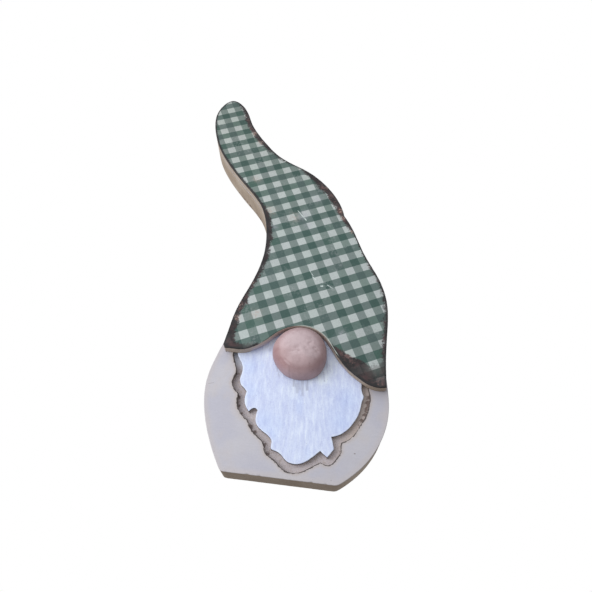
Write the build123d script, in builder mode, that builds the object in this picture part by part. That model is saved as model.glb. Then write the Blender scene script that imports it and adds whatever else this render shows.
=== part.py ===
"""Standing wooden gnome (tomte): a flat figure glued up from sawn layers.

A thick board is cut to the outline of the whole figure.  A thin panel with the
same outline and a beard-shaped window is glued on its front, and the beard is
a separate thin plate laid into that window, with a narrow groove left all round.
The hat is a thicker plate, covered with a sheet of patterned paper, and the
nose is a turned wooden dome that sits on the beard, below the arch of the hat.

Frame: +X to the viewer's right, +Z up, front towards -Y.  The origin is the
middle of the sawn foot that the figure stands on.  Millimetres.
"""

from build123d import *

import os

# --- driving dimensions ----------------------------------------------------
BOARD_THICKNESS = 8.0      # board that carries the rest
PANEL_THICKNESS = 1.6      # sixteenth-inch sheet: panel and beard
HAT_THICKNESS = 3.2        # eighth-inch plate
PAPER_THICKNESS = 0.2      # sheet on the hat, with its varnish
FOOT_WIDTH = 36.0          # the straight sawn edge that it stands on
FOOT_CORNER = 0.6          # both ends of the foot, eased with sandpaper
NOSE_RADIUS = 9.4          # about three quarters of an inch across
NOSE_HEIGHT = 7.3          # flatter than half a ball
NOSE_SHOULDER = 0.755      # share of radius and height that the dome's shoulder reaches
NOSE_CENTRE = (1.0, 41.45)  # X and Z

# --- faces between the layers, as distances in front of the middle of the body
BACK_FACE = -(BOARD_THICKNESS + PANEL_THICKNESS) / 2
BOARD_FACE = BACK_FACE + BOARD_THICKNESS
BODY_FACE = BOARD_FACE + PANEL_THICKNESS
HAT_FACE = BODY_FACE + HAT_THICKNESS

# --- outlines, seen from the front, as (X, Z) ------------------------------
FOOT_LEFT = (-FOOT_WIDTH / 2, 0)
FOOT_RIGHT = (FOOT_WIDTH / 2, 0)
HAT_CORNER_LEFT = (-24.6, 39.5)
HAT_HEM_LEFT = (-25.4, 40.9)     # the corner's outer end
HAT_CORNER_RIGHT = (31.0, 32.0)
SHOULDER_LEFT = (-24.6, 48.5)    # where the hat's edge takes over from the body's
SHOULDER_RIGHT = (30.4, 41.0)
SAW_SLIP = (10.5, 103.0)         # small inward corner in the hat's right edge

BODY_LEFT = [FOOT_LEFT, (-23.4, 9.1), (-27.4, 19.2), (-28.8, 28.0), (-27.6, 37.0), SHOULDER_LEFT]
BODY_RIGHT = [
    FOOT_RIGHT, (23.6, 4.6), (28.6, 11.1), (31.5, 18.0), (32.5, 25.0), (31.9, 32.0), SHOULDER_RIGHT,
]
HAT_LEFT_AND_TIP = [
    SHOULDER_LEFT, (-23.2, 57.2), (-20.0, 68.5), (-18.3, 80.5), (-19.3, 91.5), (-23.6, 104.0),
    (-31.8, 114.0), (-40.0, 123.5), (-47.5, 134.5), (-52.3, 147.0), (-52.6, 159.5), (-47.8, 165.9),
    (-41.9, 162.3), (-36.4, 152.0), (-28.5, 140.7), (-18.4, 131.1), (-7.4, 125.4), (2.1, 117.6),
    (7.8, 109.8), SAW_SLIP,
]
HAT_RIGHT = [
    SAW_SLIP, (15.0, 95.5), (20.0, 84.8), (26.4, 73.8), (29.4, 65.4), (30.3, 55.0), SHOULDER_RIGHT,
]
HAT_BRIM = [
    HAT_CORNER_LEFT, (-21.5, 39.5), (-18.4, 39.7), (-15.2, 41.1), (-12.2, 43.1), (-9.7, 45.6),
    (-7.2, 48.1), (-4.6, 49.8), (-1.7, 50.7), (1.4, 51.0), (4.5, 50.5), (7.7, 48.8), (10.3, 46.2),
    (12.4, 43.2), (15.0, 39.8), (17.4, 37.3), (20.6, 35.0), (26.4, 31.8), HAT_CORNER_RIGHT,
]

# The beard hangs in locks.  Each stretch runs smoothly from one corner of the
# outline to the next, and the last one closes it under the hat.
BEARD_LOCKS = [
    [(-20.6, 41.0), (-19.6, 37.7), (-18.2, 35.7), (-17.6, 33.9), (-17.6, 32.1), (-17.9, 30.3),
     (-17.4, 28.8), (-16.5, 27.6), (-15.6, 27.1), (-14.8, 26.1)],
    [(-14.8, 26.1), (-15.0, 24.2), (-14.8, 22.6), (-14.0, 20.9), (-12.7, 19.4)],
    [(-12.7, 19.4), (-12.0, 20.5), (-11.0, 21.0), (-10.0, 20.2)],
    [(-10.0, 20.2), (-10.3, 18.8), (-10.2, 17.3), (-9.6, 15.7), (-8.4, 14.4), (-5.8, 12.9),
     (-4.6, 12.0), (-3.8, 10.9), (-3.9, 9.3), (-3.7, 8.4)],
    [(-3.7, 8.4), (-1.7, 7.9), (-0.3, 7.2), (1.1, 5.7), (3.2, 4.8), (5.2, 4.8), (7.5, 5.8),
     (9.7, 7.6), (11.7, 9.7)],
    [(11.7, 9.7), (14.1, 7.9)],
    [(14.1, 7.9), (16.0, 10.7)],
    [(16.0, 10.7), (15.5, 12.6), (14.8, 14.5)],
    [(14.8, 14.5), (17.0, 15.3), (19.6, 17.4), (22.1, 21.2), (23.1, 23.9), (23.4, 26.4), (24.1, 29.0)],
    [(24.1, 29.0), (23.2, 31.2), (23.6, 36.0)],
    [(23.6, 36.0), (14.5, 50.5), (2.0, 56.0), (-12.0, 51.5), (-20.6, 41.0)],
]

# The window follows the beard about two millimetres further out.
WINDOW_CURVES = [
    [(-22.3, 42.5), (-21.3, 37.6), (-20.3, 35.3), (-19.5, 33.6), (-19.4, 31.9), (-20.0, 30.3),
     (-20.2, 29.0), (-19.7, 27.8), (-18.4, 26.2), (-17.2, 25.2)],
    [(-17.2, 25.2), (-17.1, 23.3), (-16.9, 21.6), (-16.1, 19.8), (-14.6, 18.0), (-12.6, 16.8)],
    [(-12.6, 16.8), (-11.5, 14.6), (-8.6, 12.0), (-6.3, 10.1), (-5.6, 7.9), (-4.3, 6.4), (-1.8, 5.2),
     (-0.1, 3.6), (2.0, 2.4), (4.6, 2.1), (7.6, 3.3), (12.2, 6.3)],
    [(12.2, 6.3), (13.3, 5.8), (14.6, 5.6), (16.1, 6.7), (17.2, 8.5), (18.2, 10.1), (17.8, 12.2), (18.0, 13.2)],
    [(18.0, 13.2), (20.6, 14.7), (22.0, 16.4), (23.8, 20.0), (25.2, 23.0), (25.9, 26.5), (26.1, 29.2),
     (25.3, 31.8), (25.6, 38.0)],
    [(25.6, 38.0), (16.5, 52.5), (2.0, 58.5), (-13.5, 53.5), (-22.3, 42.5)],
]

os.makedirs("parts", exist_ok=True)


def front_plane(distance):
    """Plane parallel to the figure's front, the given distance in front of the middle."""
    return Plane.XZ.offset(distance)


with BuildSketch() as figure_outline:
    with BuildLine():
        Line(FOOT_LEFT, FOOT_RIGHT)
        Spline(*BODY_RIGHT)
        Spline(*HAT_RIGHT)
        Spline(*HAT_LEFT_AND_TIP)
        Spline(*BODY_LEFT)
    make_face()
    fillet(figure_outline.vertices().group_by(Axis.Y)[0], radius=FOOT_CORNER)

with BuildSketch() as hat_outline:
    with BuildLine():
        Line(HAT_CORNER_LEFT, HAT_HEM_LEFT)
        Line(HAT_HEM_LEFT, SHOULDER_LEFT)
        Spline(*HAT_LEFT_AND_TIP)
        Spline(*HAT_RIGHT)
        Line(SHOULDER_RIGHT, HAT_CORNER_RIGHT)
        Spline(*HAT_BRIM)
    make_face()

with BuildSketch() as beard_outline:
    with BuildLine():
        for lock in BEARD_LOCKS:
            Spline(*lock)
    make_face()

with BuildSketch() as window_outline:
    with BuildLine():
        for curve in WINDOW_CURVES:
            Spline(*curve)
    make_face()

# --- back board: the thick layer that carries the others --------------------
with BuildPart() as back_board:
    with BuildSketch(front_plane(BACK_FACE)):
        add(figure_outline.sketch)
    extrude(amount=BOARD_THICKNESS)
back_board.part.label = "back_board"

# --- body panel: the painted layer with the window for the beard -------------
with BuildPart() as body_panel:
    with BuildSketch(front_plane(BOARD_FACE)):
        add(figure_outline.sketch)
        add(window_outline.sketch, mode=Mode.SUBTRACT)
    extrude(amount=PANEL_THICKNESS)
body_panel.part.label = "body_panel"

# --- beard: a plate laid in the window, flush with the panel -----------------
with BuildPart() as beard:
    with BuildSketch(front_plane(BOARD_FACE)):
        add(beard_outline.sketch)
    extrude(amount=PANEL_THICKNESS)
beard.part.label = "beard"

# --- hat: a plate over the panel and the top of the beard ---------------------
with BuildPart() as hat_plate:
    with BuildSketch(front_plane(BODY_FACE)):
        add(hat_outline.sketch)
    extrude(amount=HAT_THICKNESS)
hat_plate.part.label = "hat_plate"

# --- hat paper: the checked sheet, trimmed flush with the plate ---------------
with BuildPart() as hat_paper:
    with BuildSketch(front_plane(HAT_FACE)):
        add(hat_outline.sketch)
    extrude(amount=PAPER_THICKNESS)
hat_paper.part.label = "hat_paper"

# --- nose: a turned dome, flat side on the beard -------------------------------
shoulder = (NOSE_SHOULDER * NOSE_RADIUS, -NOSE_SHOULDER * NOSE_HEIGHT)
nose_base = (NOSE_CENTRE[0], -BODY_FACE, NOSE_CENTRE[1])
with BuildPart() as nose:
    with BuildSketch(Plane(nose_base)):
        with BuildLine():
            Spline((NOSE_RADIUS, 0), shoulder, (0, -NOSE_HEIGHT), tangents=((0, -1), (-1, 0)))
            Line((0, -NOSE_HEIGHT), (0, 0))
            Line((0, 0), (NOSE_RADIUS, 0))
        make_face()
    revolve(axis=Axis(nose_base, (0, 1, 0)))
nose.part.label = "nose"

for piece in (back_board, body_panel, beard, hat_plate, hat_paper, nose):
    export_step(piece.part, f"parts/{piece.part.label}.step")
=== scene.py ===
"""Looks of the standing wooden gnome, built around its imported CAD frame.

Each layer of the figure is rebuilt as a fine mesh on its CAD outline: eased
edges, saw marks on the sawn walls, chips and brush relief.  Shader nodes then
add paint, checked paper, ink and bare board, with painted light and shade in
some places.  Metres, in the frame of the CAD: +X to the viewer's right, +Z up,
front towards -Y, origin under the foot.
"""

import math
from functools import reduce

import bmesh
import bpy
import numpy as np
from mathutils import Matrix, Vector, noise
from mathutils.geometry import delaunay_2d_cdt
from mathutils.kdtree import KDTree


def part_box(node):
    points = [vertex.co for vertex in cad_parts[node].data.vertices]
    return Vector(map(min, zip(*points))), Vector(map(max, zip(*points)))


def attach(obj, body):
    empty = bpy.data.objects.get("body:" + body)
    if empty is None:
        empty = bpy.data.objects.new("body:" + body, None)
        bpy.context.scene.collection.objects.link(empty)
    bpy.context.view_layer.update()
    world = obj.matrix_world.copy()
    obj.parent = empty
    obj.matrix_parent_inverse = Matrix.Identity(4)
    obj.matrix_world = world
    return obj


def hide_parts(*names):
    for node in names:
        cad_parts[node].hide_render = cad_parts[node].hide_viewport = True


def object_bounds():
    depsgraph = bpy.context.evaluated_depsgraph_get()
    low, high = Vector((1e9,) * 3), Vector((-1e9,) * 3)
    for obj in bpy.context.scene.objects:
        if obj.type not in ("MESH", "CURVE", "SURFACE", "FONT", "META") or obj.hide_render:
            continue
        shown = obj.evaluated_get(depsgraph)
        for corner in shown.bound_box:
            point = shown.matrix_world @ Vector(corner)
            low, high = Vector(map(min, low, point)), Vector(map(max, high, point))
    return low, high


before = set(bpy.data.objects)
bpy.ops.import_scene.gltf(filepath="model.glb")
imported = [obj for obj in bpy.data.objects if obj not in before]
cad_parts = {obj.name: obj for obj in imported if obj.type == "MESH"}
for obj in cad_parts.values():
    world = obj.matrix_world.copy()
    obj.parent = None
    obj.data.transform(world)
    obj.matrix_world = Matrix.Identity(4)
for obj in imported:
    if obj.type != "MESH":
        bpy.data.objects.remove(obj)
cad_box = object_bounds()

MM = 0.001
WELD = 1e-6  # points closer than this are one point
SAME_CORNER = 1e-7  # the same, for triangulation
TINY = 1e-18  # in place of a length of zero
ROOT = "root"

# --- depths and places, from the frame ---
BOARD_FRONT, BOARD_BACK = (corner.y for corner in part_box("back_board"))
BODY_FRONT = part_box("body_panel")[0].y
HAT_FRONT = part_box("hat_plate")[0].y
PAPER_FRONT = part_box("hat_paper")[0].y
NOSE_LOW, NOSE_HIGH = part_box("nose")
NOSE_MIDDLE = (NOSE_LOW + NOSE_HIGH) / 2
NOSE_RADIUS = (NOSE_HIGH.x - NOSE_LOW.x) / 2
NOSE_HEIGHT = NOSE_HIGH.y - NOSE_LOW.y

# --- mesh fineness and cut edges ---
RIM_STEP = 0.35 * MM  # between points along an outline
RING_INSETS = (0.05, 0.12, 0.22, 0.36, 0.6, 1)  # rings inside an outline, in millimetres
SPARSE_FROM = 0.5  # a ring further in than this takes every second point
RING_CLEARANCE = 0.93  # share of its inset that a ring keeps from every outline
GRID_CLEARANCE = 0.3  # share of the grid's spacing kept clear inside the last ring
SHARP_TURN, SOFT_TURN = 0.6, 0.2  # radians: always a corner, and a corner if it stands out
TURN_CONTRAST = 2.2  # how many times sharper than its neighbours a soft corner turns
SMOOTHING_ROUNDS = 6
CREASE_ANGLE = math.radians(42)
SAW_WAVE, SAW_MARKS = (-0.03, 0.05, 6), (-0.02, 0.03, 0.7)  # least and most inset, and length
BEARD_NICKS, PAPER_TRIM = (-0.04, 0.06, 1.2), (0.03, 0.15, 1.8)  # the same, all in millimetres
WALL_HOLLOW, WALL_MARKS = 0.03 * MM, 1.6  # depth, and length in millimetres
CHIP_DEPTH = 0.45  # extra easing at a chip, in millimetres
PAPER_TUCK = 0.12 * MM  # how far the paper's back reaches into the plate, past its eased edge

# --- listed marks on the front, in millimetres ---
INK_LINE = 0.45  # how far the ink runs in from the hat's edge everywhere
INK_SMUDGES = [  # x, z, radius of the smudge, extra reach of the ink
    (-6.8, 124.2, 2.6, 1.6), (-3.5, 121.3, 3.5, 2), (0.2, 117.6, 3.8, 2.7), (3.6, 113.8, 3.8, 2.4),
    (6.6, 109.8, 3.8, 2), (9, 105.8, 3.4, 1.9), (11, 101.4, 2.6, 1.7), (13.2, 97.2, 3, 1.2),
    (22.5, 80, 7, 0.5), (28.5, 68, 7, 0.6), (-41.8, 161.5, 3, 1.4), (-39.2, 157, 4, 1.9),
    (-36.3, 150, 4.5, 2), (-32, 143.2, 4.5, 2), (-26.5, 137.2, 4.5, 1.6), (-19, 131.5, 5, 0.5),
    (-22.8, 103, 2.6, 0.7), (-20.6, 98.5, 3.5, 1.7), (-19.2, 92.5, 4, 2.2), (-18.4, 86.5, 4, 2),
    (-18.2, 80.5, 4, 1.7), (-18.9, 74, 4, 1.4), (-20.3, 67.5, 4, 1.5), (-22, 59.5, 3.2, 1.8),
    (-20.6, 57.3, 1.8, 1.3), (-23.2, 53.2, 3, 1.8), (-22.8, 48.6, 2.6, 2.2), (-24, 44.5, 3, 2.3),
    (-24, 41.3, 3, 1.6), (-20.5, 40, 3.2, 1.6), (-16.8, 40.4, 2.8, 1), (14, 42.4, 2.2, 1.6),
    (16.8, 39.8, 3, 3.6), (20.6, 37.6, 3.4, 4.8), (25, 35.4, 3.4, 4), (29.3, 32.8, 4.5, 2),
    (26, 38, 3, 1.2), (22.4, 39.6, 2.4, 2.6), (30.5, 42, 8, 0.9), (30, 56, 10, 0.8),
    (-12.6, 42.8, 3, -0.4), (-9, 46.2, 3.5, -0.5), (-4.5, 50.2, 4, -0.5), (1.4, 51.2, 4, -0.5),
    (6.6, 49.8, 3.5, -0.5), (10.3, 46.4, 2.5, -0.4),
]
FAINT_INK = [(-16, 42, 3), (27, 38.5, 3)]  # x, z, radius
RUDDY_INK = [  # x, z, radius: ink worn to a reddish brown
    (-38, 154, 3), (-34.5, 147, 3), (-29.5, 140, 3), (1.5, 116.5, 2.5), (5.6, 111.5, 2.4),
    (8.8, 106, 2.2), (10.2, 101.5, 1.6), (16.8, 41.6, 2), (18.6, 40.6, 1.8), (28.6, 33.4, 2.2),
    (-22.4, 55.6, 1.4),
]
RUBBED_SPOTS = [  # x, z, radius: paper rubbed to its tan core near the edge
    (-34, 145, 1.5), (-30.3, 139.6, 1.4), (8.7, 105.2, 1.5), (9.8, 101.6, 1.2), (14, 95, 1),
    (-23, 57.2, 1.3), (-22.6, 51.5, 1.4), (-20.5, 66.5, 1.2), (1.8, 117.2, 1),
]
CUT_HIGHLIGHT_SPOTS = [  # x, z, radius: the paper's pale core shows at its cut edge, with a painted highlight where that edge catches light
    (1.4, 51.2, 3), (5.4, 50.4, 2.4), (8.6, 48.3, 2.2), (11.2, 45.2, 2), (13, 42.4, 1.2),
]
FADED_SPOTS = [  # x, z, radius: paper gone tan
    (-19.7, 101.4, 2.2), (-9.4, 99.4, 1.8), (-28, 118, 1.6), (-16.2, 53.8, 1.6),
]
MAUVE_SPOTS = [  # x, z, radius: paper gone mauve
    (-5.1, 101.9, 2), (-1.4, 110.3, 1.8), (-3.2, 96, 1.6), (-16.2, 93.4, 1.4), (14.5, 49, 2),
    (-6.6, 100, 1.6),
]
SCRATCHES = [  # from x, z to x, z, and half the width of the pale line
    (-8.4, 103, -6.4, 100.7, 0.12), (-6.4, 100.7, -4.5, 98.6, 0.2), (-0.1, 74.9, 1.6, 72.4, 0.1),
    (1.5, 71.9, 2.7, 71, 0.15), (5.1, 68.4, 5.5, 68.4, 0.3), (7.3, 69.1, 9.2, 68, 0.12),
]
FOOT_CHIPS = [  # x, z, radius
    (-9.4, 0, 0.7), (-5.8, 0, 0.5), (10.2, 0, 0.6), (-16, 0.5, 0.5), (14.6, 0.3, 0.5),
]
NOSE_DENTS = [  # x, z, radius and depth
    (4.7, 43.2, 0.7, 0.20), (5.3, 44, 0.5, 0.14), (3.4, 40.8, 0.7, 0.12), (6.6, 41.5, 0.6, 0.20),
    (7.5, 40.6, 0.6, 0.18), (4.3, 40, 0.7, 0.10), (0.7, 38.9, 0.4, 0.14), (-3, 36.6, 1.4, 0.06),
    (6.4, 39.2, 0.8, 0.08),
]
NOSE_CREASES = [  # from, to, width, depth
    (-5.6, 37, -2.9, 34.3, 0.18, 0.13), (-3.9, 36.3, -1.2, 34.5, 0.16, 0.10),
    (-2.8, 38.6, 0.4, 39.5, 0.25, 0.04), (-1.3, 34.2, -1.1, 32.4, 0.2, 0.14),
]
NOSE_SWELLS = [  # heading and spread in degrees, how far the outline bulges there
    (-136, 26, -0.35), (-50, 26, 0.45), (8, 26, -0.15), (172, 24, 0.25), (-90, 20, -0.1), (90, 34, 0.1),
]
NOSE_SQUARENESS = 2.6  # 2 would be a plain dome, more gives it a fuller shoulder
NOSE_RINGS, NOSE_AROUND, RING_TWIST = 46, 180, 0.5  # rings of points, points in the last, radians
NOSE_EASING = 0.2 * MM  # radius of the dome's edge on its flat side
CHEEK_SPOTS = [(-6.4, 39.5, 3.2), (-5, 36, 2.4)]  # x, z, radius: ruddier paint
PANEL_HAIRLINE = (-27.8, 27.3, -26.2, 27.8, 0.07)  # from x, z to x, z, and half the width
PANEL_SPECK = (22.4, 10.2, 22.6, 10.2, 0.16)
BEARD_SHADOWS = [  # x, z, radius: thin grey strokes in the white
    (1.6, 30, 1.5), (4.2, 30.2, 1.5), (-6.2, 35.8, 2.2), (-3.8, 33.4, 1.6), (-10.4, 43, 2.4),
    (10.4, 37.8, 2.4),
]
BEARD_STREAKS = [  # from x, z to x, z, and half the width: dark strokes left by the brush
    (0.2, 32.2, 0.5, 30.2, 0.45), (1.5, 32.2, 2, 28.2, 0.60), (3, 32.2, 3.5, 27.4, 0.60),
    (4.6, 32.2, 5, 29.4, 0.45), (-6.2, 36.2, -5.9, 34.6, 0.24), (-3.9, 34.4, -3.2, 32.9, 0.24),
    (-2.9, 34, -2.4, 32.4, 0.20), (9.8, 36, 10.4, 33, 0.22),
]
STROKE_LEAN = 0.139  # sideways step of the beard's brush strokes for each millimetre down
STROKE_SQUEEZE = 0.09  # share of its height at which the brush's relief varies
BEARD_BLUES = [  # x, z, radius: thinner, bluer paint
    (-14.4, 26.5, 3.4), (-7.6, 17, 3.6), (17.2, 19.5, 4.2), (18.4, 27.5, 4), (-15.5, 35, 3),
    (-4.5, 12.5, 2.6),
]
BEARD_LIGHT_SPOTS = [  # x, z, radius: whiter paint, mostly painted light that lifts the shadows of the nose and the hat's hem
    (11, 37, 3), (9, 33.2, 2.6), (12.8, 40.2, 2.4), (-9.4, 44, 2.4), (-7, 46.4, 2), (1, 29, 3),
]
PAINT_SMEARS = [  # x, z, radius
    (-14.5, 41.5, 2.5), (-11, 44.3, 3), (-7.5, 48, 3), (16.5, 38.2, 3),
]
GROOVE_STAINS = [  # x, z, radius, strength: brown rubbed into the groove
    (25.8, 29.6, 0.8, 0.9), (25.6, 27.6, 0.9, 1), (25.4, 25.6, 0.8, 0.9), (24.9, 23.6, 0.8, 0.9),
    (23.9, 21.4, 0.7, 0.9), (22.9, 19.6, 0.6, 0.6), (-16.6, 21.8, 0.7, 0.8), (-16.9, 24.4, 0.7, 0.8),
    (-11.4, 14.8, 0.8, 0.9), (-9.8, 13.2, 0.8, 0.8), (-6.2, 9.8, 0.8, 0.9), (-4.6, 7.2, 0.7, 0.9),
    (-19.6, 32.5, 0.6, 0.8), (-14.8, 18.8, 0.6, 0.7), (17.6, 10.4, 0.5, 0.7),
]


# --- outlines ---
def face_loops(node, depth):
    """Outlines of a CAD plate's face at one depth: closed loops of (x, z), material on their left."""
    bm = bmesh.new()
    bm.from_mesh(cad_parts[node].data)
    bmesh.ops.remove_doubles(bm, verts=bm.verts, dist=WELD)
    face = {f for f in bm.faces if all(abs(v.co.y - depth) < WELD for v in f.verts)}
    links = {}
    for edge in bm.edges:
        if sum(f in face for f in edge.link_faces) == 1:
            one, other = edge.verts
            links.setdefault(one, []).append(other)
            links.setdefault(other, []).append(one)
    loops = []
    while links:
        here, loop = next(iter(links)), []
        while here is not None:
            loop.append((here.co.x, here.co.z))
            here = next((v for v in links.pop(here) if v in links), None)
        loops.append(np.array(loop))
    bm.free()
    loops.sort(key=lambda loop: -abs(signed_area(loop)))
    wanted = [1] + [-1] * (len(loops) - 1)
    return [loop if signed_area(loop) * sign > 0 else loop[::-1] for loop, sign in zip(loops, wanted)]


def signed_area(loop):
    """Area inside a closed loop, positive if it runs anticlockwise."""
    ahead = np.roll(loop, -1, 0)
    return float((loop[:, 0] * ahead[:, 1] - ahead[:, 0] * loop[:, 1]).sum() / 2)


def turns(loop):
    """Angle turned at each point of a closed loop."""
    back, ahead = loop - np.roll(loop, 1, 0), np.roll(loop, -1, 0) - loop
    cross = back[:, 0] * ahead[:, 1] - back[:, 1] * ahead[:, 0]
    return np.abs(np.arctan2(cross, (back * ahead).sum(1)))


def smooth_loop(loop):
    """The loop again as points a rim step apart, smooth between its corners."""
    turn = turns(loop)
    beside = np.maximum(np.roll(turn, 1), np.roll(turn, -1))
    corners = np.flatnonzero((turn > SHARP_TURN) | ((turn > SOFT_TURN) & (turn > TURN_CONTRAST * beside)))
    stretches = []
    for start, end in zip(corners, np.roll(corners, -1)):
        count = (end - start) % len(loop) or len(loop)
        run = loop[(start + np.arange(count + 1)) % len(loop)]
        length = np.concatenate([[0], np.cumsum(np.linalg.norm(np.diff(run, axis=0), axis=1))])
        stops = np.linspace(0, length[-1], max(2, round(length[-1] / RIM_STEP) + 1))
        run = np.column_stack([np.interp(stops, length, run[:, axis]) for axis in (0, 1)])
        for _ in range(SMOOTHING_ROUNDS):
            run[1:-1] = (run[:-2] + 2 * run[1:-1] + run[2:]) / 4
        stretches.append(run[:-1])
    return np.concatenate(stretches)


def inward(loop):
    """Unit normals of a closed loop that point into the material."""
    along = np.roll(loop, -1, 0) - np.roll(loop, 1, 0)
    normal = np.column_stack([-along[:, 1], along[:, 0]])
    return normal / np.linalg.norm(normal, axis=1)[:, None]


def wobble(points, size, seed=0):
    """Smooth noise from -1 to 1 at each (x, z), with features about size millimetres long."""
    scale = 1 / (size * MM)
    return np.array([noise.noise(Vector((x * scale, seed, z * scale))) for x, z in points])


def inset(loops, least, most, size, seed=0):
    """Loops moved into the material by an uneven distance, in millimetres."""
    moved = []
    for loop in loops:
        share = 0.5 + 0.5 * wobble(loop, size, seed)
        moved.append(loop + inward(loop) * ((least + (most - least) * share) * MM)[:, None])
    return moved


def sawn_outline(node, depth):
    """A CAD plate's outlines as the saw left them: slightly wavy, with fine marks across the edge."""
    smooth = [smooth_loop(loop) for loop in face_loops(node, depth)]
    return inset(inset(smooth, *SAW_WAVE, seed=2), *SAW_MARKS, seed=9)


class Outline:
    """Closed loops around a plate's material, with the tests that its meshing needs."""

    def __init__(self, loops):
        self.loops = loops
        self.points = np.concatenate(loops)
        self.ahead = np.concatenate([np.roll(loop, -1, 0) for loop in loops])
        self.behind = np.concatenate([np.roll(loop, 1, 0) for loop in loops])
        self.tree = KDTree(len(self.points))
        for index, (x, z) in enumerate(self.points):
            self.tree.insert((x, z, 0), index)
        self.tree.balance()

    def distance(self, points):
        """How far each point is from the nearest loop."""
        near = np.array([self.tree.find((x, z, 0))[1] for x, z in points])
        here = self.points[near]
        sides = (segment_distance(points, here, ends[near]) for ends in (self.ahead, self.behind))
        return np.minimum(*sides)

    def inside(self, points):
        """True for each point that lies in the material."""
        found = np.zeros(len(points), bool)
        x, z = points[:, 0], points[:, 1]
        for (x0, z0), (x1, z1) in zip(self.points, self.ahead):
            if z0 != z1:
                crosses = (z0 > z) != (z1 > z)
                found ^= crosses & (x < (x1 - x0) * (z - z0) / (z1 - z0) + x0)
        return found


def segment_distance(points, start, end):
    """Distance from each point to the segment from start to end."""
    along = end - start
    share = ((points - start) * along).sum(-1) / np.maximum((along * along).sum(-1), TINY)
    foot = start + along * np.clip(share, 0, 1)[..., None]
    return np.linalg.norm(points - foot, axis=-1)


# --- meshes ---
def inner_points(outline, spacing):
    """Points in the material: rings that follow the outline, then a staggered grid."""
    kept = []
    for step_in in RING_INSETS:
        depth = step_in * MM
        every = 1 if step_in < SPARSE_FROM else 2
        for loop in outline.loops:
            ring = (loop + depth * inward(loop))[::every]
            clear = outline.distance(ring) > RING_CLEARANCE * depth
            kept.append(ring[clear & outline.inside(ring)])
    low, high = outline.points.min(0), outline.points.max(0)
    across, up = spacing[0] * MM, spacing[1] * MM
    rows = np.arange(low[1], high[1], up)
    grid = np.array([
        (x + (across / 2 if row % 2 else 0), z)
        for row, z in enumerate(rows) for x in np.arange(low[0], high[0], across)
    ])
    grid = grid[outline.inside(grid)]
    clearance = RING_INSETS[-1] * MM + GRID_CLEARANCE * min(across, up)
    kept.append(grid[outline.distance(grid) > clearance])
    return np.concatenate(kept)


def triangles(outline, inner, rim_start, inner_start):
    """Triangles over one face, anticlockwise in (x, z), as numbers of the piece's points."""
    points = np.concatenate([outline.points, inner])
    rim, first = [], 0
    for loop in outline.loops:
        rim += [(first + i, first + (i + 1) % len(loop)) for i in range(len(loop))]
        first += len(loop)
    scaled = [Vector(p) for p in points / MM]
    _, _, faces, sources, _, _ = delaunay_2d_cdt(scaled, rim, [], 0, SAME_CORNER)
    faces = np.array([[sources[corner][0] for corner in f] for f in faces])
    faces = faces[outline.inside(points[faces].mean(1))]
    return np.where(faces < first, faces + rim_start, faces - first + inner_start)


def rounding(distance, radius):
    """How far an eased edge has dropped at each distance in from the outline."""
    missing = np.clip(radius - distance, 0, None)
    return radius - np.sqrt(np.clip(radius**2 - missing**2, 0, None))


def spots(points, places):
    """Sum of soft round spots: places are (x, z, radius), with a strength after that if it isn't 1."""
    total = np.zeros(len(points))
    for x, z, radius, *strength in places:
        gap = np.linalg.norm(points / MM - (x, z), axis=1) / radius
        total += np.exp(-gap * gap) * (strength[0] if strength else 1)
    return total


def at_depth(points, depth):
    """Points given as (x, z), as (x, y, z)."""
    return np.column_stack([points[:, 0], depth, points[:, 1]])


def wall_layers(outline, front_depth, back_depth, rows):
    """Rows of points down a plate's walls, slightly hollow and rough from the saw."""
    normal = np.concatenate([inward(loop) for loop in outline.loops])
    layers = []
    for row in range(rows + 1):
        share = row / rows
        roughness = 1 + wobble(outline.points, WALL_MARKS, seed=3 + row)
        hollow = WALL_HOLLOW * math.sin(math.pi * share) * roughness
        depth = front_depth * (1 - share) + back_depth * share
        layers.append(at_depth(outline.points + normal * hollow[:, None], depth))
    return layers


def wall_faces(loops, rows):
    """Four-sided faces between the rows of points down the walls."""
    count = sum(len(loop) for loop in loops)
    faces, first = [], 0
    for loop in loops:
        here = first + np.arange(len(loop))
        ahead = np.roll(here, -1)
        for row in range(rows):
            low, high = row * count, (row + 1) * count
            faces += np.column_stack([here + low, here + high, ahead + high, ahead + low]).tolist()
        first += len(loop)
    return faces


def plate(
    name, loops, front, back, easing, spacing,
    relief=None, back_easing=0.12, rows=6, back_spacing=(2.5, 2.5),
):
    """A sawn plate between two depths, with eased edges.

    easing and relief give, for each (x, z), the front edge's radius and the
    depth of the surface below the face.  These, back_easing and the spacings
    of points are in millimetres.
    """
    outline = Outline(loops)
    rim = outline.points
    front_inner, back_inner = inner_points(outline, spacing), inner_points(outline, back_spacing)
    front_distance, back_distance = outline.distance(front_inner), outline.distance(back_inner)

    def front_depth(points, distance):
        dropped = rounding(distance, easing(points) * MM)
        return front + dropped + (relief(points) * MM if relief else 0)

    rim_back = np.full(len(rim), back - back_easing * MM)
    layers = wall_layers(outline, front_depth(rim, np.zeros(len(rim))), rim_back, rows)
    layers.append(at_depth(front_inner, front_depth(front_inner, front_distance)))
    layers.append(at_depth(back_inner, back - rounding(back_distance, back_easing * MM)))

    front_start = len(rim) * (rows + 1)
    back_start = front_start + len(front_inner)
    front_faces = triangles(outline, front_inner, 0, front_start)
    back_faces = triangles(outline, back_inner, len(rim) * rows, back_start)[:, ::-1]
    faces = wall_faces(loops, rows) + front_faces.tolist() + back_faces.tolist()
    piece = new_piece(name, np.concatenate(layers), faces)
    edge = np.concatenate([np.zeros(front_start), front_distance, back_distance])
    set_attribute(piece, "edge", edge / MM)
    return piece


def new_object(name, data):
    made = bpy.data.objects.new(name, data)
    bpy.context.scene.collection.objects.link(made)
    return made


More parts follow.
